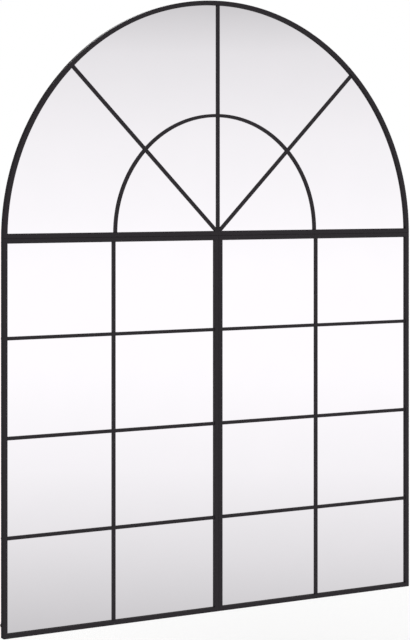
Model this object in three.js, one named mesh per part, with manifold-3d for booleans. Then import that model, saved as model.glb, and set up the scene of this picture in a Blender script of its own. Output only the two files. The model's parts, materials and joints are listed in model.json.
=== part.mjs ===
// Arched window mirror: a half-round fan panel over two rectangular panels, in welded steel tube.
// Millimetres. X runs to the right as the mirror is looked at, Y from the front to the wall, Z up.
// The pieces are drawn with Y = 0 on the front of the frames and Z = 0 on the joint under the fan.
// The finished group is then moved, so that its origin lies on the wall between the two keyholes.
import * as THREE from 'three';
import { mergeVertices } from 'three/addons/utils/BufferGeometryUtils.js';
import Module from 'manifold-3d';

const wasm = await Module();
wasm.setup();

// Overall size.
const mirrorWidth = 1000;
const lowerPanelHeight = 800;

// Frame tube: a rectangular steel section, mitred and welded at the corners.
const tubeFace = 9.5;
const tubeDepth = 12.5;
const tubeWall = 1.2;
const cornerRadius = 2;

// Glazing strips: flat bars welded between the tubes, on the front of the glass.
const stripWidth = 7;
const stripThickness = 3;
const rowCount = 4;
const ringRadius = 246;
const spokeAngle = 45;
const spokeFocusHeight = 6.25;
const weldGap = 0.1;

// Sheets behind the strips. The glass fits its frame closely, so that no gap shows beside the tubes.
const glassThickness = 3;
const glassClearance = 0.3;
const boardThickness = 4.5;
const boardClearance = 0.5;

// Turn buttons: flat steel tongues on a hollow rivet, which hold the backing boards in.
const buttonWidth = 9;
const buttonReach = 20.5;
const buttonThickness = 1.5;
const buttonGap = 0.3;
const rivetShankRadius = 1.5;
const rivetHoleRadius = 1.7;
const rivetHeadRadius = 3.5;
const rivetHeadHeight = 1.6;
const rivetTailRadius = 2.4;
const rivetTailLength = 2.5;
const stileButtonShares = [0.25, 0.75];
const sillButtonOffset = 200;
const archButtonAngles = [68, 112];

// Joining plates: flat steel, screwed over the joints between neighbouring tubes.
const plateThickness = 2;
const plateWidth = 16;
const plateLength = 70;
const plateCornerRadius = 3;
const plateScrewSpacing = 50;
const screwClearanceRadius = 2;
const screwPilotRadius = 1.4;
const endPlateInset = 100;
const bottomPlateRise = 95;
const teeSpan = 120;
const teeStem = 62;
const teeScrewSpacing = 96;
const teeStemScrewDrop = 48;

// Keyhole hangers: stepped plates welded behind the shoulders of the arch.
const hangerAngle = 45;
const hangerLength = 32;
const hangerThickness = 1.5;
const hangerFootWidth = 8.5;
const hangerReach = 26;
const keyholeEntryRadius = 4.75;
const keyholeSlotWidth = 5;
const keyholeTravel = 9.5;

// Wall bumpers: rubber discs on the bottom corners, as high as the hangers stand off.
const wallGap = 5.5;
const bumperRadius = 4.5;
const bumperEdge = 1;
const bumperRise = 25;

// Fineness of the round shapes.
const archSegments = 96;
const ringSegments = 72;
const cornerSegments = 3;
const boreSegments = 48;
const holeSegments = 12;

// Sizes that follow.
const halfWidth = mirrorWidth / 2;
const archInner = halfWidth - tubeFace;
const archFlat = archInner * Math.cos(Math.PI / (2 * archSegments));
const stripBack = tubeDepth - boardThickness - glassThickness;
const stripFront = stripBack - stripThickness;
const glassBack = stripBack + glassThickness;
const wallPlane = tubeDepth + wallGap;
const halfStrip = stripWidth / 2;
const halfTube = tubeFace / 2;
const rowPitch = lowerPanelHeight / rowCount;
const keyholeRadius = archInner - hangerReach / 2;
const hangerRadians = THREE.MathUtils.degToRad(hangerAngle);
const keyholeX = keyholeRadius * Math.cos(hangerRadians);
const keyholeSeatZ = keyholeRadius * Math.sin(hangerRadians) + keyholeTravel / 2;

const materials = {
  frame: new THREE.MeshStandardMaterial({ color: 0x38353a, roughness: 0.55, metalness: 0.3 }),
  mirror: new THREE.MeshStandardMaterial({ color: 0xf4f5f7, roughness: 0.03, metalness: 1 }),
  board: new THREE.MeshStandardMaterial({ color: 0x8a6a4a, roughness: 0.85, metalness: 0 }),
  zinc: new THREE.MeshStandardMaterial({ color: 0xb9bcc0, roughness: 0.35, metalness: 1 }),
  rubber: new THREE.MeshStandardMaterial({ color: 0x1c1c1e, roughness: 0.8, metalness: 0 }),
};

// ---- Small tools for outlines and solids ----

const point = (x, z) => new THREE.Vector2(x, z);

// Points along an arc, angles in degrees, both ends included.
function arcPoints(centreX, centreZ, radius, fromAngle, toAngle, segments) {
  const points = [];
  for (let i = 0; i <= segments; i += 1) {
    const angle = THREE.MathUtils.degToRad(fromAngle + ((toAngle - fromAngle) * i) / segments);
    points.push(point(centreX + radius * Math.cos(angle), centreZ + radius * Math.sin(angle)));
  }
  return points;
}

// A quarter turn of an outline, exact in floating point.
function quarterTurn(points, turns) {
  let turned = points;
  for (let i = 0; i < turns; i += 1) {
    turned = turned.map((p) => point(-p.y, p.x));
  }
  return turned;
}

const shifted = (points, x, z) => points.map((p) => point(p.x + x, p.y + z));

// An outline in the XZ plane, made solid from one depth to another along Y.
function plate(points, front, back) {
  const geometry = new THREE.ExtrudeGeometry(new THREE.Shape(points), {
    depth: back - front,
    bevelEnabled: false,
  });
  const standUp = new THREE.Matrix4().set(1, 0, 0, 0, 0, 0, -1, back, 0, 1, 0, 0, 0, 0, 0, 1);
  return geometry.applyMatrix4(standUp);
}

const rectangle = (x0, x1, z0, z1) => [point(x0, z0), point(x1, z0), point(x1, z1), point(x0, z1)];

function roundedRectangle(x0, x1, z0, z1, radius) {
  return [
    ...arcPoints(x0 + radius, z0 + radius, radius, 180, 270, cornerSegments),
    ...arcPoints(x1 - radius, z0 + radius, radius, 270, 360, cornerSegments),
    ...arcPoints(x1 - radius, z1 - radius, radius, 0, 90, cornerSegments),
    ...arcPoints(x0 + radius, z1 - radius, radius, 90, 180, cornerSegments),
  ];
}

// A round bar or hole along Y.
function pin(x, z, radius, front, back) {
  const geometry = new THREE.CylinderGeometry(radius, radius, back - front, holeSegments);
  return geometry.translate(x, (front + back) / 2, z);
}

function toSolid(geometry) {
  const bare = geometry.clone();
  bare.deleteAttribute('normal');
  bare.deleteAttribute('uv');
  const merged = mergeVertices(bare);
  const index = merged.getIndex().array;
  const triangles = [];
  for (let i = 0; i < index.length; i += 3) {
    const [a, b, c] = [index[i], index[i + 1], index[i + 2]];
    if (a !== b && b !== c && c !== a) {
      triangles.push(a, b, c);
    }
  }
  const vertProperties = new Float32Array(merged.getAttribute('position').array);
  const triVerts = new Uint32Array(triangles);
  return new wasm.Manifold(new wasm.Mesh({ numProp: 3, vertProperties, triVerts }));
}

function toGeometry(solid) {
  const mesh = solid.getMesh();
  const geometry = new THREE.BufferGeometry();
  geometry.setAttribute('position', new THREE.BufferAttribute(mesh.vertProperties, 3));
  geometry.setIndex(new THREE.BufferAttribute(mesh.triVerts, 1));
  geometry.computeVertexNormals();
  return geometry;
}

function cut(geometry, cutters) {
  let solid = toSolid(geometry);
  for (const cutter of cutters) {
    solid = solid.subtract(toSolid(cutter));
  }
  return toGeometry(solid);
}

function addPiece(group, name, geometry, material) {
  const mesh = new THREE.Mesh(geometry, material);
  mesh.name = name;
  group.add(mesh);
  return mesh;
}

// ---- Where the fastenings are ----

const lowerPanels = [
  { side: 'left', left: -halfWidth, right: 0, outerX: -halfWidth + halfTube, innerX: -halfTube },
  { side: 'right', left: 0, right: halfWidth, outerX: halfWidth - halfTube, innerX: halfTube },
];

// Turn buttons: the pivot of each, and the turn about Y that points its tongue over the board.
// A tongue is drawn along +X, and a turn of +90 degrees about Y would point it down.
function stileButtons(panel) {
  const panelMiddle = (panel.left + panel.right) / 2;
  const buttons = [];
  for (const x of [panel.outerX, panel.innerX]) {
    for (const share of stileButtonShares) {
      buttons.push({ x, z: -lowerPanelHeight * share, turn: x < panelMiddle ? 0 : 180 });
    }
  }
  return buttons;
}

function fanButtons() {
  const buttons = [-sillButtonOffset, sillButtonOffset].map((x) => ({ x, z: halfTube, turn: -90 }));
  for (const angle of archButtonAngles) {
    const radians = THREE.MathUtils.degToRad(angle);
    const radius = halfWidth - halfTube;
    buttons.push({ x: radius * Math.cos(radians), z: radius * Math.sin(radians), turn: 180 - angle });
  }
  return buttons;
}

// Joining plates: the outline of each, and its screws on the middle lines of both tubes.
function strapAcross(x, z, isUpright) {
  const [halfX, halfZ] = isUpright ? [plateWidth / 2, plateLength / 2] : [plateLength / 2, plateWidth / 2];
  const screws = [];
  for (const along of [-plateScrewSpacing / 2, plateScrewSpacing / 2]) {
    for (const across of [-halfTube, halfTube]) {
      screws.push(isUpright ? point(x + across, z + along) : point(x + along, z + across));
    }
  }
  const outline = roundedRectangle(x - halfX, x + halfX, z - halfZ, z + halfZ, plateCornerRadius);
  return { outline, screws };
}

function teePlate() {
  const half = plateWidth / 2;
  const tip = plateCornerRadius;
  const outline = [
    ...arcPoints(teeSpan / 2 - tip, half - tip, tip, 0, 90, cornerSegments),
    ...arcPoints(-teeSpan / 2 + tip, half - tip, tip, 90, 180, cornerSegments),
    ...arcPoints(-teeSpan / 2 + tip, -half + tip, tip, 180, 270, cornerSegments),
    point(-half, -half),
    ...arcPoints(-half + tip, -teeStem + tip, tip, 180, 270, cornerSegments),
    ...arcPoints(half - tip, -teeStem + tip, tip, 270, 360, cornerSegments),
    point(half, -half),
    ...arcPoints(teeSpan / 2 - tip, -half + tip, tip, 270, 360, cornerSegments),
  ];
  const screws = [];
  for (const side of [-1, 1]) {
    screws.push(point((side * teeScrewSpacing) / 2, halfTube));
    screws.push(point((side * teeScrewSpacing) / 2, -halfTube));
    screws.push(point(side * halfTube, -teeStemScrewDrop));
  }
  return { outline, screws };
}

const endPlateX = halfWidth - endPlateInset;
const joiningPlates = {
  joining_plate_centre: teePlate(),
  joining_plate_left: strapAcross(-endPlateX, 0, false),
  joining_plate_right: strapAcross(endPlateX, 0, false),
  joining_plate_bottom: strapAcross(0, -lowerPanelHeight + bottomPlateRise, true),
};

// Every hole in the back walls of the tubes, as one list of cutters.
function backHoles() {
  const front = tubeDepth - 2 * tubeWall;
  const back = tubeDepth + tubeWall;
  const buttons = [...fanButtons(), ...lowerPanels.flatMap(stileButtons)];
  const holes = buttons.map((button) => pin(button.x, button.z, rivetHoleRadius, front, back));
  for (const joint of Object.values(joiningPlates)) {
    holes.push(...joint.screws.map((screw) => pin(screw.x, screw.y, screwPilotRadius, front, back)));
  }
  return holes;
}

const tubeHoles = backHoles();

// ---- Frame tubes ----

// A hollow tube from its outer outline and the outline of its bore, with holes in its back wall.
// The bore's outline runs out past both ends, so that the tube is open there.
function tube(outline, bore) {
  const hollow = plate(bore, tubeWall, tubeDepth - tubeWall);
  return cut(plate(outline, 0, tubeDepth), [hollow, ...tubeHoles]);
}

// The bottom bar of a rectangular frame, mitred at both ends and turned to its side of the frame.
// A corner that meets a neighbouring panel is square. The others are ground round.
function mitredBar(length, turns, x, z, ground = {}) {
  const tip = cornerRadius;
  const startTip = ground.start ? arcPoints(tip, tip, tip, 225, 270, cornerSegments) : [point(0, 0)];
  const endTip = ground.end
    ? arcPoints(length - tip, tip, tip, 270, 315, cornerSegments)
    : [point(length, 0)];
  const outline = [
    ...startTip,
    ...endTip,
    point(length - tubeFace, tubeFace),
    point(tubeFace, tubeFace),
  ];
  const bore = rectangle(-tubeFace, length + tubeFace, tubeWall, tubeFace - tubeWall);
  const place = (points) => shifted(quarterTurn(points, turns), x, z);
  return tube(place(outline), place(bore));
}

// The foot of the arch is mitred to the sill rail from the outer corner to the inner one.
const footAngle = THREE.MathUtils.radToDeg(Math.asin(tubeFace / archInner));
const footInnerX = archInner * Math.cos(THREE.MathUtils.degToRad(footAngle));

function archBar() {
  const outline = [
    ...arcPoints(0, 0, halfWidth, 0, 180, archSegments),
    ...arcPoints(0, 0, archInner, 180 - footAngle, footAngle, archSegments),
  ];
  const boreEnd = 2 * footAngle;
  const bore = [
    ...arcPoints(0, 0, halfWidth - tubeWall, -boreEnd, 180 + boreEnd, boreSegments),
    ...arcPoints(0, 0, archInner + tubeWall, 180 + boreEnd, -boreEnd, boreSegments),
  ];
  return tube(outline, bore);
}

function sillRail() {
  const outline = [
    point(-halfWidth, 0),
    point(halfWidth, 0),
    point(footInnerX, tubeFace),
    point(-footInnerX, tubeFace),
  ];
  const bore = rectangle(-halfWidth - tubeFace, halfWidth + tubeFace, tubeWall, tubeFace - tubeWall);
  return tube(outline, bore);
}

// ---- Glazing strips ----

function strip(x0, x1, z0, z1) {
  const geometry = new THREE.BoxGeometry(x1 - x0, stripThickness, z1 - z0);
  return geometry.translate((x0 + x1) / 2, (stripFront + stripBack) / 2, (z0 + z1) / 2);
}

// Where a spoke that leaves the focus at an angle meets the inside of the arch, along its length.
function spokeLength(angle) {
  const along = spokeFocusHeight * Math.sin(angle);
  const aside = Math.abs(spokeFocusHeight * Math.cos(angle)) + halfStrip;
  return Math.sqrt((archFlat - weldGap) ** 2 - aside ** 2) - along;
}

// A slanting spoke, cut off along the top of the sill rail and along the side of the upright one.
function slantedSpoke(side) {
  const angle = THREE.MathUtils.degToRad(spokeAngle);
  const slope = Math.tan(angle);
  const rise = halfStrip / Math.cos(angle);
  const length = spokeLength(angle);
  const uprightSide = halfStrip + weldGap;
  const endX = length * Math.cos(angle);
  const endZ = spokeFocusHeight + length * Math.sin(angle);
  const asideX = halfStrip * Math.sin(angle);
  const asideZ = halfStrip * Math.cos(angle);
  const outline = [
    point(uprightSide, tubeFace),
    point((tubeFace - spokeFocusHeight + rise) / slope, tubeFace),
    point(endX + asideX, endZ - asideZ),
    point(endX - asideX, endZ + asideZ),
    point(uprightSide, spokeFocusHeight + slope * uprightSide + rise),
  ];
  const mirrored = outline.map((p) => point(-p.x, p.y)).reverse();
  return plate(side === 'right' ? outline : mirrored, stripFront, stripBack);
}

// The half ring is cut through by the three spokes, which leaves four arcs, sorted from the left.
function ringArcs() {
  const outline = [
    ...arcPoints(0, tubeFace, ringRadius + halfStrip, 0, 180, ringSegments),
    ...arcPoints(0, tubeFace, ringRadius - halfStrip, 180, 0, ringSegments),
  ];
  const slotHalf = halfStrip + weldGap;
  const spokeSlot = rectangle(-slotHalf, slotHalf, -tubeFace, halfWidth);
  const turn = THREE.MathUtils.degToRad(90 - spokeAngle);
  const slots = [0, turn, -turn].map((angle) => {
    const turned = spokeSlot.map((p) => p.clone().rotateAround(point(0, 0), angle));
    return plate(shifted(turned, 0, spokeFocusHeight), 0, tubeDepth);
  });
  let ring = toSolid(plate(outline, stripFront, stripBack));
  for (const slot of slots) {
    ring = ring.subtract(toSolid(slot));
  }
  const arcs = ring.decompose();
  arcs.sort((a, b) => a.boundingBox().min[0] - b.boundingBox().min[0]);
  return arcs.map(toGeometry);
}

// ---- Sheets ----

// A half disc that fills the fan frame but for a clearance all round.
function halfDisc(clearance, front, back) {
  const radius = archInner - clearance;
  const base = tubeFace + clearance;
  const baseAngle = THREE.MathUtils.radToDeg(Math.asin(base / radius));
  return plate(arcPoints(0, 0, radius, baseAngle, 180 - baseAngle, archSegments), front, back);
}

function sheet(panel, clearance, front, back) {
  const inset = tubeFace + clearance;
  const bottom = -lowerPanelHeight + inset;
  return plate(rectangle(panel.left + inset, panel.right - inset, bottom, -inset), front, back);
}

// ---- Hardware ----

// A tongue with its rivet: the shank turns in the tube's back wall and the tail holds it inside.
function turnButton() {
  const half = buttonWidth / 2;
  const front = tubeDepth + buttonGap;
  const back = front + buttonThickness;
  const tipX = buttonReach - half;
  const outline = [
    ...arcPoints(0, 0, half, 90, 270, 2 * cornerSegments),
    ...arcPoints(tipX, 0, half, 270, 450, 2 * cornerSegments),
  ];
  const tailBack = tubeDepth - tubeWall - buttonGap;
  const headEdge = back + rivetHeadHeight / 2;
  const profile = [
    point(0, tailBack - rivetTailLength),
    point(rivetTailRadius, tailBack - rivetTailLength),
    point(rivetTailRadius, tailBack),
    point(rivetShankRadius, tailBack),
    point(rivetShankRadius, back),
    point(rivetHeadRadius, back),
    point(rivetHeadRadius, headEdge),
    point(rivetHeadRadius / 2, back + rivetHeadHeight),
    point(0, back + rivetHeadHeight),
  ];
  const rivet = new THREE.LatheGeometry(profile, holeSegments);
  return toGeometry(toSolid(plate(outline, front, back)).add(toSolid(rivet)));
}

function joiningPlate(joint) {
  const back = tubeDepth + plateThickness;
  const holes = joint.screws.map((screw) => {
    return pin(screw.x, screw.y, screwClearanceRadius, tubeDepth - plateThickness, back + plateThickness);
  });
  return cut(plate(joint.outline, tubeDepth, back), holes);
}

// The stepped plate is drawn across the crown of the arch and then turned about Y to lie across one
// shoulder. The keyhole is cut last, so that its slot points straight up.
function keyholeHanger(side) {
  const padFront = wallPlane - hangerThickness;
  const footBack = tubeDepth + hangerThickness;
  // Height above the inside of the arch, and depth: the foot on the tube, a step, and the pad.
  const section = [
    point(hangerFootWidth, tubeDepth),
    point(hangerFootWidth, footBack),
    point(hangerThickness, footBack),
    point(hangerThickness, wallPlane),
    point(-hangerReach, wallPlane),
    point(-hangerReach, padFront),
    point(0, padFront),
    point(0, tubeDepth),
  ];
  const settings = { depth: hangerLength, bevelEnabled: false };
  const bar = new THREE.ExtrudeGeometry(new THREE.Shape(section), settings);
  const acrossCrown = new THREE.Matrix4();
  acrossCrown.set(0, 0, -1, hangerLength / 2, 0, 1, 0, 0, 1, 0, 0, archInner, 0, 0, 0, 1);
  bar.applyMatrix4(acrossCrown);
  bar.rotateY(side * (Math.PI / 2 - hangerRadians));

  const seatX = side * keyholeX;
  const entryZ = keyholeSeatZ - keyholeTravel;
  const halfSlot = keyholeSlotWidth / 2;
  const slotOutline = [
    ...arcPoints(seatX, keyholeSeatZ, halfSlot, 0, 180, 2 * cornerSegments),
    point(seatX - halfSlot, entryZ),
    point(seatX + halfSlot, entryZ),
  ];
  const slot = plate(slotOutline, footBack, wallPlane + hangerThickness);
  const entry = pin(seatX, entryZ, keyholeEntryRadius, footBack, wallPlane + hangerThickness);
  return cut(bar, [slot, entry]);
}

function wallBumper() {
  const profile = [
    point(0, tubeDepth),
    point(bumperRadius, tubeDepth),
    point(bumperRadius, wallPlane - bumperEdge),
    point(bumperRadius - bumperEdge, wallPlane),
    point(0, wallPlane),
  ];
  return toGeometry(toSolid(new THREE.LatheGeometry(profile, holeSegments)));
}

function addButtons(group, prefix, buttons) {
  buttons.forEach((button, i) => {
    const mesh = addPiece(group, `${prefix}_turn_button_${i + 1}`, turnButton(), materials.zinc);
    mesh.position.set(button.x, 0, button.z);
    mesh.rotation.y = THREE.MathUtils.degToRad(button.turn);
  });
}

// ---- The fan panel ----

function fanPanel() {
  const group = new THREE.Group();
  addPiece(group, 'fan_arch_bar', archBar(), materials.frame);
  addPiece(group, 'fan_sill_rail', sillRail(), materials.frame);
  const crown = spokeFocusHeight + spokeLength(Math.PI / 2);
  addPiece(group, 'fan_spoke_upright', strip(-halfStrip, halfStrip, tubeFace, crown), materials.frame);
  addPiece(group, 'fan_spoke_left', slantedSpoke('left'), materials.frame);
  addPiece(group, 'fan_spoke_right', slantedSpoke('right'), materials.frame);
  ringArcs().forEach((arc, i) => addPiece(group, `fan_ring_arc_${i + 1}`, arc, materials.frame));
  addPiece(group, 'fan_mirror', halfDisc(glassClearance, stripBack, glassBack), materials.mirror);
  addPiece(group, 'fan_backing_board', halfDisc(boardClearance, glassBack, tubeDepth), materials.board);
  addButtons(group, 'fan', fanButtons());
  return group;
}

// ---- A lower panel ----

function lowerPanel(panel) {
  const group = new THREE.Group();
  const { side, left, right } = panel;
  const width = right - left;
  const isLeft = side === 'left';
  const leftStile = mitredBar(lowerPanelHeight, 3, left, 0, { end: isLeft });
  const rightStile = mitredBar(lowerPanelHeight, 1, right, -lowerPanelHeight, { start: !isLeft });
  const bottomRail = mitredBar(width, 0, left, -lowerPanelHeight, { start: isLeft, end: !isLeft });
  addPiece(group, `${side}_outer_stile`, isLeft ? leftStile : rightStile, materials.frame);
  addPiece(group, `${side}_inner_stile`, isLeft ? rightStile : leftStile, materials.frame);
  addPiece(group, `${side}_top_rail`, mitredBar(width, 2, right, 0), materials.frame);
  addPiece(group, `${side}_bottom_rail`, bottomRail, materials.frame);

  const middle = (left + right) / 2;
  const bottom = -lowerPanelHeight + tubeFace;
  const upright = strip(middle - halfStrip, middle + halfStrip, bottom, -tubeFace);
  addPiece(group, `${side}_upright_bar`, upright, materials.frame);
  for (let row = 1; row < rowCount; row += 1) {
    const z = -rowPitch * row;
    const halves = {
      outer: isLeft ? [left + tubeFace, middle - halfStrip] : [middle + halfStrip, right - tubeFace],
      inner: isLeft ? [middle + halfStrip, right - tubeFace] : [left + tubeFace, middle - halfStrip],
    };
    for (const [place, [x0, x1]] of Object.entries(halves)) {
      const bar = strip(x0, x1, z - halfStrip, z + halfStrip);
      addPiece(group, `${side}_cross_bar_${row}_${place}`, bar, materials.frame);
    }
  }

  addPiece(group, `${side}_mirror`, sheet(panel, glassClearance, stripBack, glassBack), materials.mirror);
  const board = sheet(panel, boardClearance, glassBack, tubeDepth);
  addPiece(group, `${side}_backing_board`, board, materials.board);
  addButtons(group, side, stileButtons(panel));
  return group;
}

// ---- What joins and hangs the panels ----

function hardware() {
  const group = new THREE.Group();
  for (const [name, joint] of Object.entries(joiningPlates)) {
    addPiece(group, name, joiningPlate(joint), materials.zinc);
  }
  for (const [name, side] of [['left', -1], ['right', 1]]) {
    addPiece(group, `keyhole_hanger_${name}`, keyholeHanger(side), materials.frame);
    const bumper = addPiece(group, `wall_bumper_${name}`, wallBumper(), materials.rubber);
    bumper.position.set(side * (halfWidth - halfTube), 0, -lowerPanelHeight + bumperRise);
  }
  return group;
}

const windowMirror = new THREE.Group();
windowMirror.add(fanPanel());
lowerPanels.forEach((panel) => windowMirror.add(lowerPanel(panel)));
windowMirror.add(hardware());
windowMirror.position.set(0, -wallPlane, -keyholeSeatZ);

export default windowMirror;
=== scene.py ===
import json
from math import asin, atan2, cos, pi, radians, sin, sqrt, tan

import bmesh
import bpy
from mathutils import Matrix, Vector


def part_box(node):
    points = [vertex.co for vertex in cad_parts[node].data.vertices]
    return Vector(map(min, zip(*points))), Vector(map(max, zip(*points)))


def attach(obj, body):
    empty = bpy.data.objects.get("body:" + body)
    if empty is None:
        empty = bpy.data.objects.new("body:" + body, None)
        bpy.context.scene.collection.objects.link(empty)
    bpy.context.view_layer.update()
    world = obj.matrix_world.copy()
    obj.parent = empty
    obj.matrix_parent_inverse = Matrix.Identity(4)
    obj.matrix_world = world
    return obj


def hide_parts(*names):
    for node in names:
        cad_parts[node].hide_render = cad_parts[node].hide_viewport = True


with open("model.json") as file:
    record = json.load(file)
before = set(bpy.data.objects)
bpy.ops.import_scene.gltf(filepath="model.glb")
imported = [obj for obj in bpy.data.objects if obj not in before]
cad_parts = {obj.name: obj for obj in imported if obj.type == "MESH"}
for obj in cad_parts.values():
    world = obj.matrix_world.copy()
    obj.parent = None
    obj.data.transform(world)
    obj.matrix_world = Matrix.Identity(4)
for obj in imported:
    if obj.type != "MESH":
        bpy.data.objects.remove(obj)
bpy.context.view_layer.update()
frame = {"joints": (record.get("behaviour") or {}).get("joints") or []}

MM = 0.001
# Points closer than this are one point.
TOUCHING = 0.002 * MM

# Sizes that the frame gives.
arch_low, arch_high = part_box("fan_arch_bar")
stile_low, stile_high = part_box("left_outer_stile")
strip_low, strip_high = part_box("fan_spoke_upright")
plate_low, plate_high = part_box("joining_plate_left")
HALF_WIDTH = arch_high.x
SEAM_Z = arch_low.z
FOOT_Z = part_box("left_bottom_rail")[0].z
FRAME_FRONT, FRAME_BACK = arch_low.y, arch_high.y
TUBE_FACE = stile_high.x - stile_low.x
STRIP_FRONT, STRIP_BACK = strip_low.y, strip_high.y
HALF_STRIP = (strip_high.x - strip_low.x) / 2
PLATE_WIDTH = plate_high.z - plate_low.z
PLATE_BACK = plate_high.y
ARCH_INNER = HALF_WIDTH - TUBE_FACE
RING_OUTER = -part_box("fan_ring_arc_1")[0].x
RING_CENTRE = (0.0, SEAM_Z + TUBE_FACE)
GLASS_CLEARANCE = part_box("left_mirror")[0].x - stile_high.x

# Edges and welds of the steel.
TUBE_EDGE = 0.9 * MM
GROUND_CORNER = 2 * MM
STRIP_EDGE = 0.25 * MM
WELD_LAP = 2 * STRIP_EDGE
SHEET_EDGE = 0.25 * MM
GLASS_ARRIS = 0.25 * MM
BOARD_ARRIS = 0.35 * MM

# The bead of sealant round the glass.
SEAL_SET_BACK = 0.3 * MM
SEAL_LAP = 0.1 * MM
SEAL_EDGE = 0.05 * MM

# Spokes of the fan. Their middle lines cross at the focus.
SPOKE_ANGLE = radians(45)
SPOKE_FOCUS = (0.0, SEAM_Z + 6.25 * MM)

# Turn buttons.
BUTTON_WIDTH = 9 * MM
BUTTON_REACH = 20.5 * MM
BUTTON_THICKNESS = 1.5 * MM
BUTTON_GAP = 0.3 * MM
RIVET_SHANK = 1.5 * MM
RIVET_HEAD = 3.5 * MM
RIVET_DOME = 1.6 * MM
RIVET_RIM = 0.5 * MM
RIVET_SEATING = 0.1 * MM

# Joining plates and their screws.
PLATE_CORNER = 3 * MM
PLATE_SCREW_SPACING = 50 * MM
TEE_SCREW_SPACING = 96 * MM
TEE_STEM_DROP = 48 * MM
SCREW_HOLE = 2 * MM
SCREW_SHANK = 1.6 * MM
SCREW_SINK = 0.5 * MM
SCREW_HEAD = 3.4 * MM
SCREW_RIM = 0.99 * MM
SCREW_HEIGHT = 2.2 * MM
# Every screw of a plate was left at another angle, a multiple of this one.
SCREW_TURN = radians(37)
# The cross in a screw's head at its top and its floor: height, reach of an arm, half an arm's width.
RECESS_LEVELS = [(0.2 * MM, 2.0 * MM, 0.5 * MM), (-1.5 * MM, 0.9 * MM, 0.28 * MM)]

# Keyhole hangers.
HANGER_ANGLE = radians(45)
HANGER_LENGTH = 32 * MM
HANGER_THICKNESS = 1.5 * MM
HANGER_FOOT = 8.5 * MM
HANGER_REACH = 26 * MM
HANGER_BEND = 0.7 * MM
KEYHOLE_ENTRY = 4.75 * MM
KEYHOLE_SLOT = 2.5 * MM
KEYHOLE_TRAVEL = 9.5 * MM

# The weld bead along each hanger's foot. Its length is a share of the hanger's, and its tips keep the
# square root of WELD_TIP of its radius.
WELD_BEAD = 0.9 * MM
WELD_SHARE = 0.8
WELD_LIFT = 0.18 * MM
WELD_RIPPLES = 13
WELD_RIPPLE_HEIGHT = 0.10
WELD_TIP = 0.02

# Bumpers. The dish in the rubber is given by its rim and its floor, as shares of the disc's radius.
BUMPER_EDGE = 1 * MM
DISH_RIM, DISH_FLOOR = 0.45, 0.35
DISH_DEPTH = 0.4 * MM

# Where the photograph was taken from, and how the stage is set.
CAMERA_PLACE = (-2.0478, -3.4761, -0.2367)
CAMERA_TURN = radians(30.21)
CAMERA_LENS = 106.17
CAMERA_SENSOR = 36
CAMERA_SHIFT = -0.2095
FLOOR_DROP = 0.5
FLOOR_SIZE = 200
FLOOR_TONE = 0.82
FLOOR_GLOW = 0.28
LAMP_SPREAD = radians(32)
# Lamps: where each shines from, its strength, and whether polished metal shows it.
LAMPS = {
    "key_lamp": ((-2.6, -3.2, 2.5), 0.53, False),
    "fill_lamp": ((3.4, -2.8, 0.95), 0.74, False),
    "back_lamp": ((2.0, 3.8, 1.95), 0.85, True),
}

# Fineness of round shapes, and the angle from which an edge is shaded sharp.
ARCH_STEPS = 160
RING_STEPS = 48
CORNER_STEPS = 4
EDGE_STEPS = 2
TURNED_STEPS = 40
DOME_STEPS = 6
TONGUE_END_STEPS = 20
ENTRY_STEPS = 40
SLOT_STEPS = 16
BUMPER_STEPS = 5
WELD_STEPS = 60
WELD_SIDES = 10
SHARP_ANGLE = radians(50)


# ---- Outlines ----


def arc(centre, radius, start, end, steps):
    """Points along an arc, angles in radians, both ends included."""
    angles = [start + (end - start) * i / steps for i in range(steps + 1)]
    return [(centre[0] + radius * cos(a), centre[1] + radius * sin(a)) for a in angles]


def rounded(corners, radii):
    """The outline through these corners, with an arc of its own radius at each."""
    outline = []
    for i, corner in enumerate(corners):
        here = Vector(corner)
        if not radii[i]:
            outline.append(tuple(here))
            continue
        before = (Vector(corners[i - 1]) - here).normalized()
        after = (Vector(corners[(i + 1) % len(corners)]) - here).normalized()
        half = before.angle(after) / 2
        centre = here + (before + after).normalized() * (radii[i] / sin(half))
        tangent = radii[i] / tan(half)
        first = here + before * tangent - centre
        last = here + after * tangent - centre
        start = atan2(first.y, first.x)
        sweep = (atan2(last.y, last.x) - start + pi) % (2 * pi) - pi
        outline += arc(centre, radii[i], start, start + sweep, CORNER_STEPS)
    return outline


def rectangle(x0, x1, z0, z1):
    return [(x0, z0), (x1, z0), (x1, z1), (x0, z1)]


def circle(centre, radius):
    return arc(centre, radius, 0, 2 * pi, TURNED_STEPS)[:-1]


def mirrored(outline):
    return [(-x, z) for x, z in reversed(outline)]


def angle_beside(radius, line_angle, distance):
    """Where the ring meets a line beside a spoke: the angle at the ring's centre, for that radius.

    The line runs at line_angle, at that distance to the left of the spoke's middle line.
    """
    offset_x = RING_CENTRE[0] - SPOKE_FOCUS[0]
    offset_z = RING_CENTRE[1] - SPOKE_FOCUS[1]
    centre_distance = offset_z * cos(line_angle) - offset_x * sin(line_angle)
    return line_angle + asin((distance - centre_distance) / radius)


# ---- Meshes ----

# Turns a drawing in local X and Y upright, so that its local Y is the height.
STAND_UP = Matrix(((1, 0, 0, 0), (0, 0, -1, 0), (0, 1, 0, 0), (0, 0, 0, 1)))
# Turns a lathe's axis from local Z towards the wall.
FACE_WALL = Matrix(((1, 0, 0, 0), (0, 0, 1, 0), (0, -1, 0, 0), (0, 0, 0, 1)))


def shape_of(obj):
    """The shape of a curve or mesh object, with its modifiers applied."""
    seen = obj.evaluated_get(bpy.context.evaluated_depsgraph_get())
    bm = bmesh.new()
    bm.from_mesh(seen.to_mesh())
    seen.to_mesh_clear()
    return bm


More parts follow.
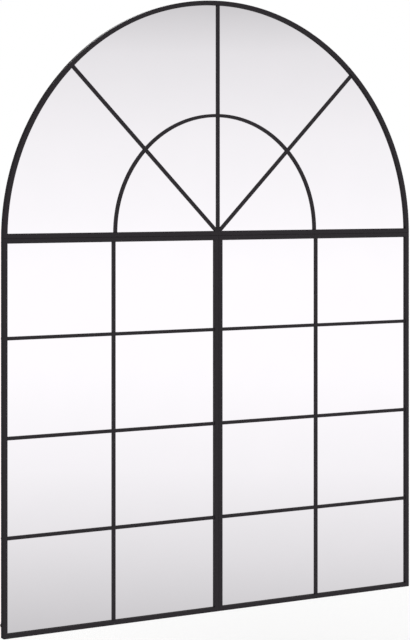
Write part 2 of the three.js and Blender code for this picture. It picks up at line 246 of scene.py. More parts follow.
def closed_mesh(name, bm):
    """Joins what touches, drops slivers, points the faces outwards, and makes the mesh."""
    bmesh.ops.remove_doubles(bm, verts=bm.verts, dist=TOUCHING)
    bmesh.ops.dissolve_degenerate(bm, dist=TOUCHING, edges=bm.edges)
    bmesh.ops.recalc_face_normals(bm, faces=bm.faces)
    mesh = bpy.data.meshes.new(name)
    bm.to_mesh(mesh)
    bm.free()
    return mesh


def sheet_mesh(name, outlines, thickness, edge):
    """A flat sheet with rounded edges, around local Z = 0. Outlines inside the first one are holes."""
    curve = bpy.data.curves.new(name, "CURVE")
    curve.dimensions = "2D"
    curve.fill_mode = "BOTH"
    curve.extrude = thickness / 2 - edge
    curve.bevel_depth = edge
    curve.bevel_resolution = EDGE_STEPS
    curve.offset = -edge
    for outline in outlines:
        spline = curve.splines.new("POLY")
        spline.points.add(len(outline) - 1)
        for spline_point, (x, z) in zip(spline.points, outline):
            spline_point.co = (x, z, 0, 1)
        spline.use_cyclic_u = True
    drawn = bpy.data.objects.new(name, curve)
    bpy.context.scene.collection.objects.link(drawn)
    bm = shape_of(drawn)
    bpy.data.objects.remove(drawn)
    bpy.data.curves.remove(curve)
    return closed_mesh(name, bm)


def standing_sheet(name, outlines, front, back, edge):
    mesh = sheet_mesh(name, outlines, back - front, edge)
    mesh.transform(Matrix.Translation((0, (front + back) / 2, 0)) @ STAND_UP)
    return mesh


def turned_mesh(name, profile):
    """A turned shape about local Z, from (radius, height) points that start and end on the axis."""
    bm = bmesh.new()
    rings = []
    for radius, height in profile:
        steps = TURNED_STEPS if radius else 1
        around = arc((0, 0), radius, 0, 2 * pi * (steps - 1) / steps, max(steps - 1, 1))[:steps]
        rings.append([bm.verts.new((x, y, height)) for x, y in around])
    for lower, upper in zip(rings, rings[1:]):
        for i in range(TURNED_STEPS):
            j = (i + 1) % TURNED_STEPS
            corners = [lower[i % len(lower)], lower[j % len(lower)]]
            corners += [upper[j % len(upper)], upper[i % len(upper)]]
            bm.faces.new(list(dict.fromkeys(corners)))
    return closed_mesh(name, bm)


def swept_tube(name, route):
    """A tube of the frame. route(inset) lists its points at that distance inside the frame's outline."""
    corners = [(0, FRAME_FRONT), (TUBE_FACE, FRAME_FRONT), (TUBE_FACE, FRAME_BACK), (0, FRAME_BACK)]
    section = rounded(corners, [TUBE_EDGE] * 4)
    bm = bmesh.new()
    lines = []
    for inset, depth in section:
        lines.append([bm.verts.new((x, depth, z)) for x, z in route(inset)])
    for line, following in zip(lines, lines[1:] + lines[:1]):
        for i in range(len(line) - 1):
            bm.faces.new((line[i], line[i + 1], following[i + 1], following[i]))
    bm.faces.new([line[0] for line in lines])
    bm.faces.new([line[-1] for line in reversed(lines)])
    return closed_mesh(name, bm)


def combined_mesh(name, mesh, other, operation):
    """One mesh from two solids: UNION joins them, DIFFERENCE cuts the other from the first."""
    body = bpy.data.objects.new(name, mesh)
    tool = bpy.data.objects.new(name + "_other", other)
    for made in (body, tool):
        bpy.context.scene.collection.objects.link(made)
    boolean = body.modifiers.new("combine", "BOOLEAN")
    boolean.operation = operation
    boolean.solver = "EXACT"
    boolean.object = tool
    bm = shape_of(body)
    for made in (body, tool):
        bpy.data.objects.remove(made)
    return closed_mesh(name, bm)


# ---- Materials ----


def add_node(tree, kind, inputs=None, **settings):
    """A node with its settings, and with each named input set to a value or linked to a socket."""
    made = tree.nodes.new(kind)
    for name, value in settings.items():
        setattr(made, name, value)
    for name, value in (inputs or {}).items():
        if isinstance(value, bpy.types.NodeSocket):
            tree.links.new(value, made.inputs[name])
        else:
            made.inputs[name].default_value = value
    return made


def effect_group(name, inputs, outputs):
    """An empty node group, with the sockets that its nodes read and fill."""
    tree = bpy.data.node_groups.new(name, "ShaderNodeTree")
    for label, value in inputs.items():
        socket = tree.interface.new_socket(label, in_out="INPUT", socket_type="NodeSocketFloat")
        socket.default_value = value
    for label in outputs:
        tree.interface.new_socket(label, in_out="OUTPUT", socket_type="NodeSocketFloat")
    entry = tree.nodes.new("NodeGroupInput")
    result = tree.nodes.new("NodeGroupOutput")
    return tree, entry.outputs, result.inputs


# Noise lies mostly between the first two values. Specks, smears and flecks take a part of its range.
NOISE_SPAN = (0.3, 0.7)
SPECK_SPAN = (0.35, 0.65)
SMEAR_SPAN = (0.45, 0.8)
FLECK_SPAN = (0.60, 0.70)
# Dust starts at this Z of a surface's direction, and keeps this share between its specks.
DUST_SLOPE = 0.3
DUST_THINNEST = 0.3
DUST_COLOUR = (0.32, 0.30, 0.28)


def noise(tree, size, detail, roughness=0.5, stretch=(1, 1, 1)):
    """Noise over the piece, with features of that size in metres."""
    place = add_node(tree, "ShaderNodeTexCoord").outputs["Object"]
    mapping = add_node(tree, "ShaderNodeMapping", {"Vector": place, "Scale": stretch})
    scale = add_node(tree, "ShaderNodeMath", {0: 1.0, 1: size}, operation="DIVIDE").outputs[0]
    settings = {"Vector": mapping.outputs[0], "Scale": scale, "Detail": detail, "Roughness": roughness}
    return add_node(tree, "ShaderNodeTexNoise", settings).outputs["Fac"]


def remapped(tree, value, low, high, to_low, to_high):
    sockets = {"Value": value, "From Min": low, "From Max": high, "To Min": to_low, "To Max": to_high}
    return add_node(tree, "ShaderNodeMapRange", sockets).outputs["Result"]


def blended(tree, mask, low, high):
    """A colour between two others. Either may be a colour or a colour socket."""
    made = add_node(tree, "ShaderNodeMix", {"Factor": mask}, data_type="RGBA")
    for socket, colour in ((made.inputs[6], low), (made.inputs[7], high)):
        if isinstance(colour, bpy.types.NodeSocket):
            tree.links.new(colour, socket)
        else:
            socket.default_value = (*colour, 1)
    return made.outputs[2]


def surface_grain_group():
    """Fine grain and broad patches, each from 0 to 1."""
    tree, entry, result = effect_group(
        "Surface grain", {"Grain Size": 1 * MM, "Patch Size": 60 * MM}, ["Grain", "Patches"]
    )
    tree.links.new(noise(tree, entry["Grain Size"], 2), result["Grain"])
    patches = noise(tree, entry["Patch Size"], 4, 0.6)
    tree.links.new(remapped(tree, patches, *NOISE_SPAN, 0, 1), result["Patches"])
    return tree


def settled_dust_group():
    """Where dust lies: on what faces up, in a broken layer."""
    tree, entry, result = effect_group("Settled dust", {"Amount": 0.2, "Speck Size": 3 * MM}, ["Dust"])
    normal = add_node(tree, "ShaderNodeTexCoord").outputs["Normal"]
    height = add_node(tree, "ShaderNodeSeparateXYZ", {"Vector": normal}).outputs["Z"]
    upward = remapped(tree, height, DUST_SLOPE, 1, 0, 1)
    specks = remapped(tree, noise(tree, entry["Speck Size"], 6, 0.7), *SPECK_SPAN, DUST_THINNEST, 1)
    layer = add_node(tree, "ShaderNodeMath", {0: upward, 1: specks}, operation="MULTIPLY").outputs[0]
    dust = add_node(tree, "ShaderNodeMath", {0: layer, 1: entry["Amount"]}, operation="MULTIPLY")
    tree.links.new(dust.outputs[0], result["Dust"])
    return tree


SURFACE_GRAIN = surface_grain_group()
SETTLED_DUST = settled_dust_group()


def grouped(tree, group, **constants):
    """What a node group puts out, with each input set to its value."""
    made = tree.nodes.new("ShaderNodeGroup")
    made.node_tree = group
    for name, value in constants.items():
        made.inputs[name.replace("_", " ")].default_value = value
    return made.outputs


def new_finish(name, **constants):
    """A material with one Principled shader, and the values that are the same all over it."""
    material = bpy.data.materials.new(name)
    material.use_nodes = True
    tree = material.node_tree
    shader = tree.nodes["Principled BSDF"]
    for label, value in constants.items():
        shader.inputs[label.replace("_", " ")].default_value = value
    return material, tree, shader


def add_bump(tree, shader, height, distance, strength=1.0):
    sockets = {"Height": height, "Distance": distance, "Strength": strength}
    bump = add_node(tree, "ShaderNodeBump", sockets)
    tree.links.new(bump.outputs[0], shader.inputs["Normal"])


def powder_coat():
    """Satin black powder coat: a very fine orange peel, slightly uneven, with a trace of dust."""
    material, tree, shader = new_finish("powder_coat_black", Specular_IOR_Level=0.2)
    grain = grouped(tree, SURFACE_GRAIN, Grain_Size=0.9 * MM, Patch_Size=70 * MM)
    dust = grouped(tree, SETTLED_DUST, Amount=0.06, Speck_Size=2.5 * MM)["Dust"]
    tone = blended(tree, grain["Patches"], (0.0195, 0.0165, 0.0195), (0.0225, 0.0190, 0.0225))
    tree.links.new(blended(tree, dust, tone, DUST_COLOUR), shader.inputs["Base Color"])
    tree.links.new(remapped(tree, grain["Patches"], 0, 1, 0.40, 0.50), shader.inputs["Roughness"])
    add_bump(tree, shader, grain["Grain"], 0.04 * MM)
    return material


def silvered_glass():
    """Mirror glass: clean silvering, with faint smears that only soften it a little."""
    material, tree, shader = new_finish("silvered_glass", Metallic=1.0)
    grain = grouped(tree, SURFACE_GRAIN, Grain_Size=180 * MM, Patch_Size=90 * MM)
    tone = blended(tree, grain["Patches"], (0.980, 0.988, 0.988), (0.990, 0.996, 0.997))
    tree.links.new(tone, shader.inputs["Base Color"])
    smears = noise(tree, 25 * MM, 5, 0.65, stretch=(1, 1, 0.35))
    tree.links.new(remapped(tree, smears, *SMEAR_SPAN, 0.004, 0.03), shader.inputs["Roughness"])
    add_bump(tree, shader, grain["Grain"], 0.01 * MM)
    return material


def fibreboard():
    """Raw fibreboard: pressed brown fibre with pale and dark flecks."""
    material, tree, shader = new_finish("raw_fibreboard", Specular_IOR_Level=0.25)
    grain = grouped(tree, SURFACE_GRAIN, Grain_Size=0.8 * MM, Patch_Size=120 * MM)
    fibres = noise(tree, 1.6 * MM, 6, 0.75, stretch=(0.45, 1, 1))
    flecks = remapped(tree, noise(tree, 2.4 * MM, 3, 0.6), *FLECK_SPAN, 0, 0.55)
    tone = blended(tree, grain["Patches"], (0.300, 0.196, 0.118), (0.352, 0.240, 0.150))
    fibre_mask = remapped(tree, fibres, *NOISE_SPAN, 0, 0.55)
    tone = blended(tree, fibre_mask, tone, (0.440, 0.318, 0.212))
    tone = blended(tree, flecks, tone, (0.185, 0.115, 0.068))
    dust = grouped(tree, SETTLED_DUST, Amount=0.2, Speck_Size=3 * MM)["Dust"]
    tree.links.new(blended(tree, dust, tone, DUST_COLOUR), shader.inputs["Base Color"])
    tree.links.new(remapped(tree, fibres, *NOISE_SPAN, 0.72, 0.9), shader.inputs["Roughness"])
    add_bump(tree, shader, fibres, 0.06 * MM)
    return material


def zinc_plate():
    """Bright zinc on stamped steel: soft patches, fine drawn lines and a trace of dust."""
    material, tree, shader = new_finish("bright_zinc", Metallic=1.0)
    grain = grouped(tree, SURFACE_GRAIN, Grain_Size=0.5 * MM, Patch_Size=9 * MM)
    drawn = noise(tree, 0.35 * MM, 2, 0.5, stretch=(0.04, 1, 1))
    tone = blended(tree, grain["Patches"], (0.640, 0.652, 0.670), (0.790, 0.790, 0.780))
    dust = grouped(tree, SETTLED_DUST, Amount=0.15, Speck_Size=1.5 * MM)["Dust"]
    tree.links.new(blended(tree, dust, tone, DUST_COLOUR), shader.inputs["Base Color"])
    tree.links.new(remapped(tree, drawn, *NOISE_SPAN, 0.26, 0.44), shader.inputs["Roughness"])
    add_bump(tree, shader, drawn, 0.008 * MM)
    return material


def moulded_rubber():
    """Black moulded rubber, matt, with a bloom that greys it in patches."""
    material, tree, shader = new_finish("moulded_rubber", Specular_IOR_Level=0.3)
    grain = grouped(tree, SURFACE_GRAIN, Grain_Size=0.4 * MM, Patch_Size=4 * MM)
    tone = blended(tree, grain["Patches"], (0.020, 0.020, 0.021), (0.042, 0.041, 0.040))
    dust = grouped(tree, SETTLED_DUST, Amount=0.3, Speck_Size=1 * MM)["Dust"]
    tree.links.new(blended(tree, dust, tone, DUST_COLOUR), shader.inputs["Base Color"])
    tree.links.new(remapped(tree, grain["Grain"], *NOISE_SPAN, 0.7, 0.85), shader.inputs["Roughness"])
    add_bump(tree, shader, grain["Grain"], 0.03 * MM)
    return material


FINISHES = {
    "frame_black": powder_coat(),
    "mirror_glass": silvered_glass(),
    "backing_board": fibreboard(),
    "zinc_steel": zinc_plate(),
    "bumper_rubber": moulded_rubber(),
}


def add_piece(name, mesh, slot, *nodes, body="root"):
    """Puts a mesh on its body with its slot's finish, in place of the frame's nodes that it stands for."""
    mesh.materials.clear()
    mesh.materials.append(FINISHES[slot])
    mesh.shade_smooth()
    mesh.set_sharp_from_angle(angle=SHARP_ANGLE)
    piece = bpy.data.objects.new(name, mesh)
    bpy.context.scene.collection.objects.link(piece)
    shading = piece.modifiers.new("flat faces stay flat", "WEIGHTED_NORMAL")
    shading.keep_sharp = True
    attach(piece, body)
    if nodes:
        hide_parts(*nodes)
    return piece


# ---- Frame tubes ----


def mitred_route(start, end, inward, ground=""):
    """A straight tube between two corners of a frame. A ground corner is rounded at its outside."""
    start, end, inward = Vector(start), Vector(end), Vector(inward)
    along = (end - start).normalized()

    def tip(corner, into, is_ground, inset):
        if not is_ground:
            return [corner + (inward + into) * inset]
        if inset >= GROUND_CORNER:
            return [corner + (inward + into) * inset] * (CORNER_STEPS + 1)
        centre = corner + (inward + into) * GROUND_CORNER
        angles = [radians(45) * (1 - i / CORNER_STEPS) for i in range(CORNER_STEPS + 1)]
        return [centre - (inward * cos(a) + into * sin(a)) * (GROUND_CORNER - inset) for a in angles]

    def route(inset):
        first = tip(start, along, ground == "start", inset)
        last = tip(end, -along, ground == "end", inset)
        return [tuple(p) for p in first + last[::-1]]

    return route


# The arch's feet are mitred to the sill rail from the outer corner to the inner one.
FOOT_SLOPE = (HALF_WIDTH - sqrt(ARCH_INNER**2 - TUBE_FACE**2)) / TUBE_FACE


def foot_x(inset):
    return HALF_WIDTH - FOOT_SLOPE * inset


def arch_route(inset):
    start = atan2(inset, foot_x(inset))
    points = arc((0, SEAM_Z), HALF_WIDTH - inset, start, pi - start, ARCH_STEPS)
    points[0] = (foot_x(inset), SEAM_Z + inset)
    points[-1] = (-foot_x(inset), SEAM_Z + inset)
    return points


def sill_route(inset):
    return [(-foot_x(inset), SEAM_Z + inset), (foot_x(inset), SEAM_Z + inset)]


def add_tube(node, route):
    add_piece(node + "_tube", swept_tube(node, route), "frame_black", node)


def add_fan_frame():
    add_tube("fan_arch_bar", arch_route)
    add_tube("fan_sill_rail", sill_route)


def add_panel_frame(side):
    left, right = (-HALF_WIDTH, 0) if side == "left" else (0, HALF_WIDTH)
    low_left, low_right = (left, FOOT_Z), (right, FOOT_Z)
    top_left, top_right = (left, SEAM_Z), (right, SEAM_Z)
    is_left = side == "left"
    left_stile = mitred_route(top_left, low_left, (1, 0), "end" if is_left else "")
    right_stile = mitred_route(low_right, top_right, (-1, 0), "" if is_left else "start")
    outer, inner = (left_stile, right_stile) if is_left else (right_stile, left_stile)
    add_tube(f"{side}_outer_stile", outer)
    add_tube(f"{side}_inner_stile", inner)
    add_tube(f"{side}_top_rail", mitred_route(top_right, top_left, (0, -1)))
    ground = "start" if is_left else "end"
    add_tube(f"{side}_bottom_rail", mitred_route(low_left, low_right, (0, 1), ground))


# ---- Glazing strips ----


def add_strip(node, outline):
    mesh = standing_sheet(node, [outline], STRIP_FRONT, STRIP_BACK, STRIP_EDGE)
    add_piece(node + "_strip", mesh, "frame_black", node)


def add_straight_strip(node):
    """A strip along X or Z. Its ends run a little way into what they are welded to."""
    low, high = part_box(node)
    is_upright = high.z - low.z > high.x - low.x
    lap_x, lap_z = (0, WELD_LAP) if is_upright else (WELD_LAP, 0)
    add_strip(node, rectangle(low.x - lap_x, high.x + lap_x, low.z - lap_z, high.z + lap_z))


def slanted_spoke_outline():
    """The right-hand spoke, cut off along the sill rail and along the upright spoke."""
    base = SEAM_Z + TUBE_FACE - WELD_LAP
    beside = HALF_STRIP - WELD_LAP
    rise = HALF_STRIP / cos(SPOKE_ANGLE)
    direction = Vector((cos(SPOKE_ANGLE), sin(SPOKE_ANGLE)))
    across = Vector((-direction.y, direction.x)) * HALF_STRIP
    reach = ARCH_INNER + WELD_LAP - (SPOKE_FOCUS[1] - SEAM_Z) * sin(SPOKE_ANGLE)
    end = Vector(SPOKE_FOCUS) + direction * reach
    return [
        (beside, base),
        ((base - SPOKE_FOCUS[1] + rise) / tan(SPOKE_ANGLE), base),
        tuple(end - across),
        tuple(end + across),
        (beside, SPOKE_FOCUS[1] + beside * tan(SPOKE_ANGLE) + rise),
    ]


def ring_arc_outline(from_angle, from_distance, to_angle, to_distance):
    """An arc of the ring, between two lines that run beside the spokes or the sill rail."""
    ring_inner = RING_OUTER - 2 * HALF_STRIP
    outline = []
    for radius, is_outer in ((RING_OUTER, True), (ring_inner, False)):
        start = angle_beside(radius, from_angle, from_distance)
        end = angle_beside(radius, to_angle, to_distance)
        points = arc(RING_CENTRE, radius, start, end, RING_STEPS)
        outline += points if is_outer else points[::-1]
    return outline


def add_fan_strips():
    add_straight_strip("fan_spoke_upright")
    spoke = slanted_spoke_outline()
    add_strip("fan_spoke_right", spoke)
    add_strip("fan_spoke_left", mirrored(spoke))
    beside = HALF_STRIP - WELD_LAP
    sill_distance = RING_CENTRE[1] - SPOKE_FOCUS[1] - WELD_LAP
    low_arc = ring_arc_outline(0, sill_distance, SPOKE_ANGLE, -beside)
    high_arc = ring_arc_outline(SPOKE_ANGLE, beside, pi / 2, -beside)
    add_strip("fan_ring_arc_4", low_arc)
    add_strip("fan_ring_arc_3", high_arc)
    add_strip("fan_ring_arc_2", mirrored(high_arc))
    add_strip("fan_ring_arc_1", mirrored(low_arc))


def add_panel_strips(side):
    names = [f"{side}_cross_bar_{row}_{part}" for row in (1, 2, 3) for part in ("outer", "inner")]
    for node in (f"{side}_upright_bar", *names):
        add_straight_strip(node)


# ---- Glass and boards ----


def sheet_outline(node, growth=0.0):
    """The outline of a sheet of glass or board, grown by that much all round."""
    low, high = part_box(node)
    if not node.startswith("fan"):
        return rectangle(low.x - growth, high.x + growth, low.z - growth, high.z + growth)
    radius = high.z - SEAM_Z + growth
    start = asin((low.z - growth - SEAM_Z) / radius)
    return arc((0, SEAM_Z), radius, start, pi - start, ARCH_STEPS)


def add_sheets(panel):
    for part, slot, arris in (
        ("mirror", "mirror_glass", GLASS_ARRIS),
        ("backing_board", "backing_board", BOARD_ARRIS),
    ):
        node = f"{panel}_{part}"
        low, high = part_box(node)
        mesh = standing_sheet(node, [sheet_outline(node)], low.y, high.y, arris)
        add_piece(node + "_sheet", mesh, slot, node)


def add_seal(panel):
    """A bead of black sealant, which fills the gap between the glass and its tubes."""
    node = f"{panel}_mirror"
    low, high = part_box(node)
    outlines = [sheet_outline(node, GLASS_CLEARANCE + SEAL_LAP), sheet_outline(node, -SEAL_LAP)]
    mesh = standing_sheet(node, outlines, low.y + SEAL_SET_BACK, high.y, SEAL_EDGE)
    add_piece(f"{panel}_glass_seal", mesh, "bumper_rubber")


# ---- Turn buttons ----


def dome(radius, rim, height):
    """The top of a button head, from its rim to its middle."""
    angles = [radians(90) * i / DOME_STEPS for i in range(DOME_STEPS)]
    return [(radius * cos(a), rim + (height - rim) * sin(a)) for a in angles] + [(0, height)]


def add_turn_button(node, joint):
    low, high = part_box(node)
    pivot = Vector(joint["pos_m"])
    middle = (low + high) / 2
    direction = Vector((middle.x - pivot.x, middle.z - pivot.z))
    half = BUTTON_WIDTH / 2
    outline = arc((0, 0), half, pi / 2, 3 * pi / 2, TONGUE_END_STEPS)
    outline += arc((BUTTON_REACH - half, 0), half, -pi / 2, pi / 2, TONGUE_END_STEPS)
    front = FRAME_BACK + BUTTON_GAP
    tongue = sheet_mesh(node, [outline], BUTTON_THICKNESS, SHEET_EDGE)
    tongue.transform(Matrix.Translation((0, front + BUTTON_THICKNESS / 2, 0)) @ STAND_UP)
    top = BUTTON_GAP + BUTTON_THICKNESS
    seat = top - RIVET_SEATING
    profile = [(0, 0), (RIVET_SHANK, 0), (RIVET_SHANK, seat), (RIVET_HEAD, seat)]
    profile += dome(RIVET_HEAD, top + RIVET_RIM, top + RIVET_DOME)
    rivet = turned_mesh(node + "_rivet", profile)
    rivet.transform(Matrix.Translation((0, FRAME_BACK, 0)) @ FACE_WALL)
    mesh = combined_mesh(node, tongue, rivet, "UNION")
    turn = Matrix.Rotation(-atan2(direction.y, direction.x), 4, "Y")
    mesh.transform(Matrix.Translation((pivot.x, 0, pivot.z)) @ turn)
    add_piece(node + "_tongue", mesh, "zinc_steel", node, body=joint["child"])


# ---- Joining plates ----


def cross_cutter(name):
    """The tapered cross of a screwdriver recess, reaching down from local Z = 0."""
    bm = bmesh.new()
    rings = []
    for height, arm, half in RECESS_LEVELS:
        corner = [(arm, -half), (arm, half), (half, half)]
        turned = []
        for quarter in range(4):
            turn = Matrix.Rotation(quarter * pi / 2, 2)
            turned += [turn @ Vector(p) for p in corner]
        rings.append([bm.verts.new((p.x, p.y, height)) for p in turned])
    upper, lower = rings
    for i in range(len(upper)):
        j = (i + 1) % len(upper)
        bm.faces.new((upper[i], upper[j], lower[j], lower[i]))
    bm.faces.new(upper)
    bm.faces.new(lower[::-1])
    return closed_mesh(name, bm)


def screw_mesh(name):
    """A pan-head screw, seen from outside: its head stands on local Z = 0."""
    profile = [(0, -SCREW_SINK), (SCREW_SHANK, -SCREW_SINK), (SCREW_SHANK, 0), (SCREW_HEAD, 0)]
    profile += dome(SCREW_HEAD, SCREW_RIM, SCREW_HEIGHT)
    head = turned_mesh(name, profile)
    cutter = cross_cutter(name + "_recess")
    cutter.transform(Matrix.Translation((0, 0, SCREW_HEIGHT)))
    return combined_mesh(name, head, cutter, "DIFFERENCE")


def add_screw(name, x, z, turn):
    mesh = screw_mesh(name)
    place = Matrix.Translation((x, PLATE_BACK, z)) @ FACE_WALL @ Matrix.Rotation(turn, 4, "Z")
    mesh.transform(place)
    add_piece(name, mesh, "zinc_steel")


def add_joining_plate(node, outline, screws):
    low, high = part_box(node)
    holes = [circle(screw, SCREW_HOLE) for screw in screws]
    mesh = standing_sheet(node, [outline] + holes, low.y, high.y, SHEET_EDGE)
    add_piece(node + "_steel", mesh, "zinc_steel", node)
    for i, (x, z) in enumerate(screws):
        add_screw(f"{node}_screw_{i + 1}", x, z, SCREW_TURN * i * i)


def strap_screws(node):
    """Four screws, on the middle lines of the two tubes that the plate joins."""
    low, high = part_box(node)
    middle = (low + high) / 2
    is_upright = high.z - low.z > high.x - low.x
    screws = []
    for along in (-PLATE_SCREW_SPACING / 2, PLATE_SCREW_SPACING / 2):
        for across in (-TUBE_FACE / 2, TUBE_FACE / 2):
            shift = (across, along) if is_upright else (along, across)
            screws.append((middle.x + shift[0], middle.z + shift[1]))
    return screws


def add_joining_plates():
    for part in ("left", "right", "bottom"):
        node = f"joining_plate_{part}"
        low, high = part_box(node)
        outline = rounded(rectangle(low.x, high.x, low.z, high.z), [PLATE_CORNER] * 4)
        add_joining_plate(node, outline, strap_screws(node))
    low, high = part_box("joining_plate_centre")
    half = PLATE_WIDTH / 2
    corners = [(high.x, high.z), (low.x, high.z), (low.x, SEAM_Z - half), (-half, SEAM_Z - half)]
    corners += [(-half, low.z), (half, low.z), (half, SEAM_Z - half), (high.x, SEAM_Z - half)]
    tip = PLATE_CORNER
    outline = rounded(corners, [tip, tip, tip, 0, tip, tip, 0, tip])
    screws = []
    for side in (-1, 1):
        for across in (-TUBE_FACE / 2, TUBE_FACE / 2):
            screws.append((side * TEE_SCREW_SPACING / 2, SEAM_Z + across))
        screws.append((side * TUBE_FACE / 2, SEAM_Z - TEE_STEM_DROP))
    add_joining_plate("joining_plate_centre", outline, screws)


# ---- Hangers and bumpers ----


def weld_bead_mesh(name, length):
    """A weld bead along local Z, with the ripples of its pool."""
    bm = bmesh.new()
    rings = []
    for i in range(WELD_STEPS + 1):
        share = i / WELD_STEPS
        ripple = 1 + WELD_RIPPLE_HEIGHT * sin(share * WELD_RIPPLES * 2 * pi)
        radius = WELD_BEAD * ripple * sqrt(max(1 - (2 * share - 1) ** 6, WELD_TIP))
        around = arc((0, 0), radius, 0, 2 * pi * (WELD_SIDES - 1) / WELD_SIDES, WELD_SIDES - 1)
        rings.append([bm.verts.new((x, y, (share - 0.5) * length)) for x, y in around])
    for lower, upper in zip(rings, rings[1:]):
        for i in range(WELD_SIDES):
            j = (i + 1) % WELD_SIDES
            bm.faces.new((lower[i], lower[j], upper[j], upper[i]))
    bm.faces.new(rings[0][::-1])
    bm.faces.new(rings[-1])
    return closed_mesh(name, bm)


def add_hanger(name, side):
    """A stepped plate, welded behind the arch's shoulder by its foot, with a keyhole in its pad."""
    node = f"keyhole_hanger_{name}"
    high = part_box(node)[1]
    wall = high.y
    thick = HANGER_THICKNESS
    # Distance outside the arch's inner face, and depth.
    corners = [
        (HANGER_FOOT, FRAME_BACK),
        (HANGER_FOOT, FRAME_BACK + thick),
        (thick, FRAME_BACK + thick),
        (thick, wall),
        (-HANGER_REACH, wall),
        (-HANGER_REACH, wall - thick),
        (0, wall - thick),
        (0, FRAME_BACK),
    ]
    outer_bend = HANGER_BEND + thick
    section = rounded(corners, [0, 0, HANGER_BEND, outer_bend, 0, 0, HANGER_BEND, outer_bend])
    angle = HANGER_ANGLE if side > 0 else pi - HANGER_ANGLE
    radial = Vector((cos(angle), 0, sin(angle)))
    depth = Vector((0, 1, 0))
    place = Matrix((radial, depth, radial.cross(depth))).transposed().to_4x4()
    place.translation = radial * ARCH_INNER + Vector((0, 0, SEAM_Z))

    plate = sheet_mesh(node, [section], HANGER_LENGTH, SHEET_EDGE)
    plate.transform(place)
    middle = ARCH_INNER - HANGER_REACH / 2
    seat_x = side * middle * cos(HANGER_ANGLE)
    entry_z = SEAM_Z + middle * sin(HANGER_ANGLE) - KEYHOLE_TRAVEL / 2
    slot_angle = asin(KEYHOLE_SLOT / KEYHOLE_ENTRY)
    start, end = pi / 2 + slot_angle, 5 * pi / 2 - slot_angle
    keyhole = arc((seat_x, entry_z), KEYHOLE_ENTRY, start, end, ENTRY_STEPS)
    keyhole += arc((seat_x, entry_z + KEYHOLE_TRAVEL), KEYHOLE_SLOT, 0, pi, SLOT_STEPS)
    cutter = sheet_mesh(node + "_keyhole", [keyhole], 4 * thick, SHEET_EDGE)
    cutter.transform(Matrix.Translation((0, wall - thick / 2, 0)) @ STAND_UP)
    mesh = combined_mesh(node, plate, cutter, "DIFFERENCE")
    add_piece(node + "_plate", mesh, "frame_black", node)

    bead = weld_bead_mesh(node + "_weld", HANGER_LENGTH * WELD_SHARE)
    bead.transform(place @ Matrix.Translation((HANGER_FOOT, FRAME_BACK + WELD_LIFT, 0)))
    add_piece(node + "_weld", bead, "frame_black")


def add_bumper(name):
    """A rubber disc, rounded towards the wall, with a shallow dish in its middle."""
    node = f"wall_bumper_{name}"
    low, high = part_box(node)
    radius = (high.x - low.x) / 2
    height = high.y - low.y
    floor = height - DISH_DEPTH
    profile = [(0, 0), (radius, 0)]
    edge_centre = (radius - BUMPER_EDGE, height - BUMPER_EDGE)
    profile += arc(edge_centre, BUMPER_EDGE, 0, pi / 2, BUMPER_STEPS)
    profile += [(radius * DISH_RIM, height), (radius * DISH_FLOOR, floor), (0, floor)]
    mesh = turned_mesh(node, profile)
    middle = (low + high) / 2
    mesh.transform(Matrix.Translation((middle.x, low.y, middle.z)) @ FACE_WALL)
    add_piece(node + "_disc", mesh, "bumper_rubber", node)


# ---- The stage ----

# Brightness of what polished surfaces see of the studio, by the height of the line of sight in degrees.
STUDIO_GRADIENT = [
    (-90, 0.42),
    (-22, 0.44),
    (-13.3, 0.585),
    (-11, 0.77),
    (-8.5, 0.93),
    (-5.5, 1.02),
    (-2.5, 1.02),
    (1.5, 0.915),
    (4, 0.80),
    (5.4, 0.635),
    (12, 0.40),
    (90, 0.36),
]
STUDIO_TINT = (1, 0.968, 1)
# Brightness of the studio for all other surfaces.
STUDIO_LIGHT = 0.62
# The studio is darker behind the mirror than in front of it, and turns from one to the other between
# these two values of the line of sight's Y.
BEHIND_SHARE = 0.25
BEHIND_TURN = (-0.25, 0.35)


def set_world():
    """Plain light from everywhere. The camera sees it as white, and polished surfaces as a gradient."""
    world = bpy.data.worlds.new("studio")
    bpy.context.scene.world = world
    world.use_nodes = True
    tree = world.node_tree
    background = tree.nodes["Background"]
    path = add_node(tree, "ShaderNodeLightPath").outputs
    direction = add_node(tree, "ShaderNodeTexCoord").outputs["Generated"]
    sight = add_node(tree, "ShaderNodeSeparateXYZ", {"Vector": direction}).outputs
    ramp = add_node(tree, "ShaderNodeValToRGB", {"Fac": remapped(tree, sight["Z"], -1, 1, 0, 1)})
    stops = ramp.color_ramp.elements
    while len(stops) < len(STUDIO_GRADIENT):
        stops.new(0.5)
    for stop, (elevation, brightness) in zip(stops, STUDIO_GRADIENT):
        stop.position = (sin(radians(elevation)) + 1) / 2
        stop.color = (*(brightness * share for share in STUDIO_TINT), 1)
    front_share = remapped(tree, sight["Y"], *BEHIND_TURN, 1, BEHIND_SHARE)
    gradient = blended(tree, front_share, (0, 0, 0), ramp.outputs["Color"])
    polished = add_node(
        tree, "ShaderNodeMath", {0: path["Is Glossy Ray"], 1: path["Is Transmission Ray"]}, operation="ADD"
    ).outputs[0]
    lit = blended(tree, polished, (STUDIO_LIGHT,) * 3, gradient)
    seen = blended(tree, path["Is Camera Ray"], lit, (1, 1, 1))
    tree.links.new(seen, background.inputs["Color"])


def add_lamps():
    """Soft suns, which light the floor evenly too. The front ones stay out of the mirror."""
    for name, (source, strength, is_reflected) in LAMPS.items():
        light = bpy.data.lights.new(name, "SUN")
        light.energy = strength
        light.angle = LAMP_SPREAD
        lamp = bpy.data.objects.new(name, light)
        lamp.location = source
        lamp.rotation_euler = (-Vector(source)).to_track_quat("-Z", "Y").to_euler()
        lamp.visible_glossy = is_reflected
        bpy.context.scene.collection.objects.link(lamp)


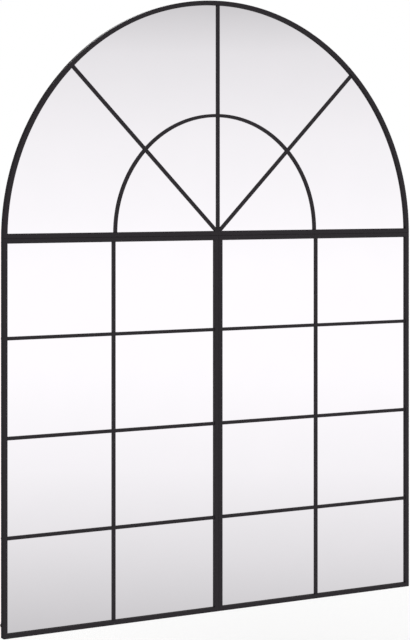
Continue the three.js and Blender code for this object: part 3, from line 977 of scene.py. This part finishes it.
def add_floor():
    """A pale floor well below the mirror. It takes the shadow and shows as white."""
    material = bpy.data.materials.new("studio_floor")
    material.use_nodes = True
    tree = material.node_tree
    shader = tree.nodes["Principled BSDF"]
    shader.inputs["Base Color"].default_value = (FLOOR_TONE, FLOOR_TONE, FLOOR_TONE, 1)
    shader.inputs["Specular IOR Level"].default_value = 0
    shader.inputs["Emission Color"].default_value = (1, 1, 1, 1)
    path = add_node(tree, "ShaderNodeLightPath").outputs
    seen = path["Is Camera Ray"]
    for kind in ("Is Glossy Ray", "Is Transmission Ray"):
        seen = add_node(tree, "ShaderNodeMath", {0: seen, 1: path[kind]}, operation="ADD").outputs[0]
    glow = add_node(tree, "ShaderNodeMath", {0: seen, 1: FLOOR_GLOW}, operation="MULTIPLY").outputs[0]
    tree.links.new(glow, shader.inputs["Emission Strength"])
    bm = bmesh.new()
    bmesh.ops.create_grid(bm, x_segments=1, y_segments=1, size=FLOOR_SIZE / 2)
    mesh = bpy.data.meshes.new("studio_floor")
    bm.to_mesh(mesh)
    bm.free()
    mesh.materials.append(material)
    floor = bpy.data.objects.new("studio_floor", mesh)
    floor.location = (0, 0, FOOT_Z - FLOOR_DROP)
    floor.visible_glossy = False
    bpy.context.scene.collection.objects.link(floor)


def add_camera():
    lens = bpy.data.cameras.new("camera")
    lens.lens = CAMERA_LENS
    lens.sensor_width = CAMERA_SENSOR
    lens.shift_y = CAMERA_SHIFT
    lens.clip_end = 2 * FLOOR_SIZE
    camera = bpy.data.objects.new("camera", lens)
    camera.location = CAMERA_PLACE
    camera.rotation_euler = (radians(90), 0, -CAMERA_TURN)
    bpy.context.scene.collection.objects.link(camera)
    bpy.context.scene.camera = camera


# ---- The mirror and its stage ----

add_fan_frame()
add_fan_strips()
for panel_side in ("left", "right"):
    add_panel_frame(panel_side)
    add_panel_strips(panel_side)
for panel_name in ("fan", "left", "right"):
    add_sheets(panel_name)
    add_seal(panel_name)
for button_joint in frame["joints"]:
    add_turn_button(button_joint["child"], button_joint)
add_joining_plates()
for hanger_name, hanger_side in (("left", -1), ("right", 1)):
    add_hanger(hanger_name, hanger_side)
    add_bumper(hanger_name)

add_camera()
set_world()
add_lamps()
add_floor()
bpy.context.scene.view_settings.view_transform = "Standard"
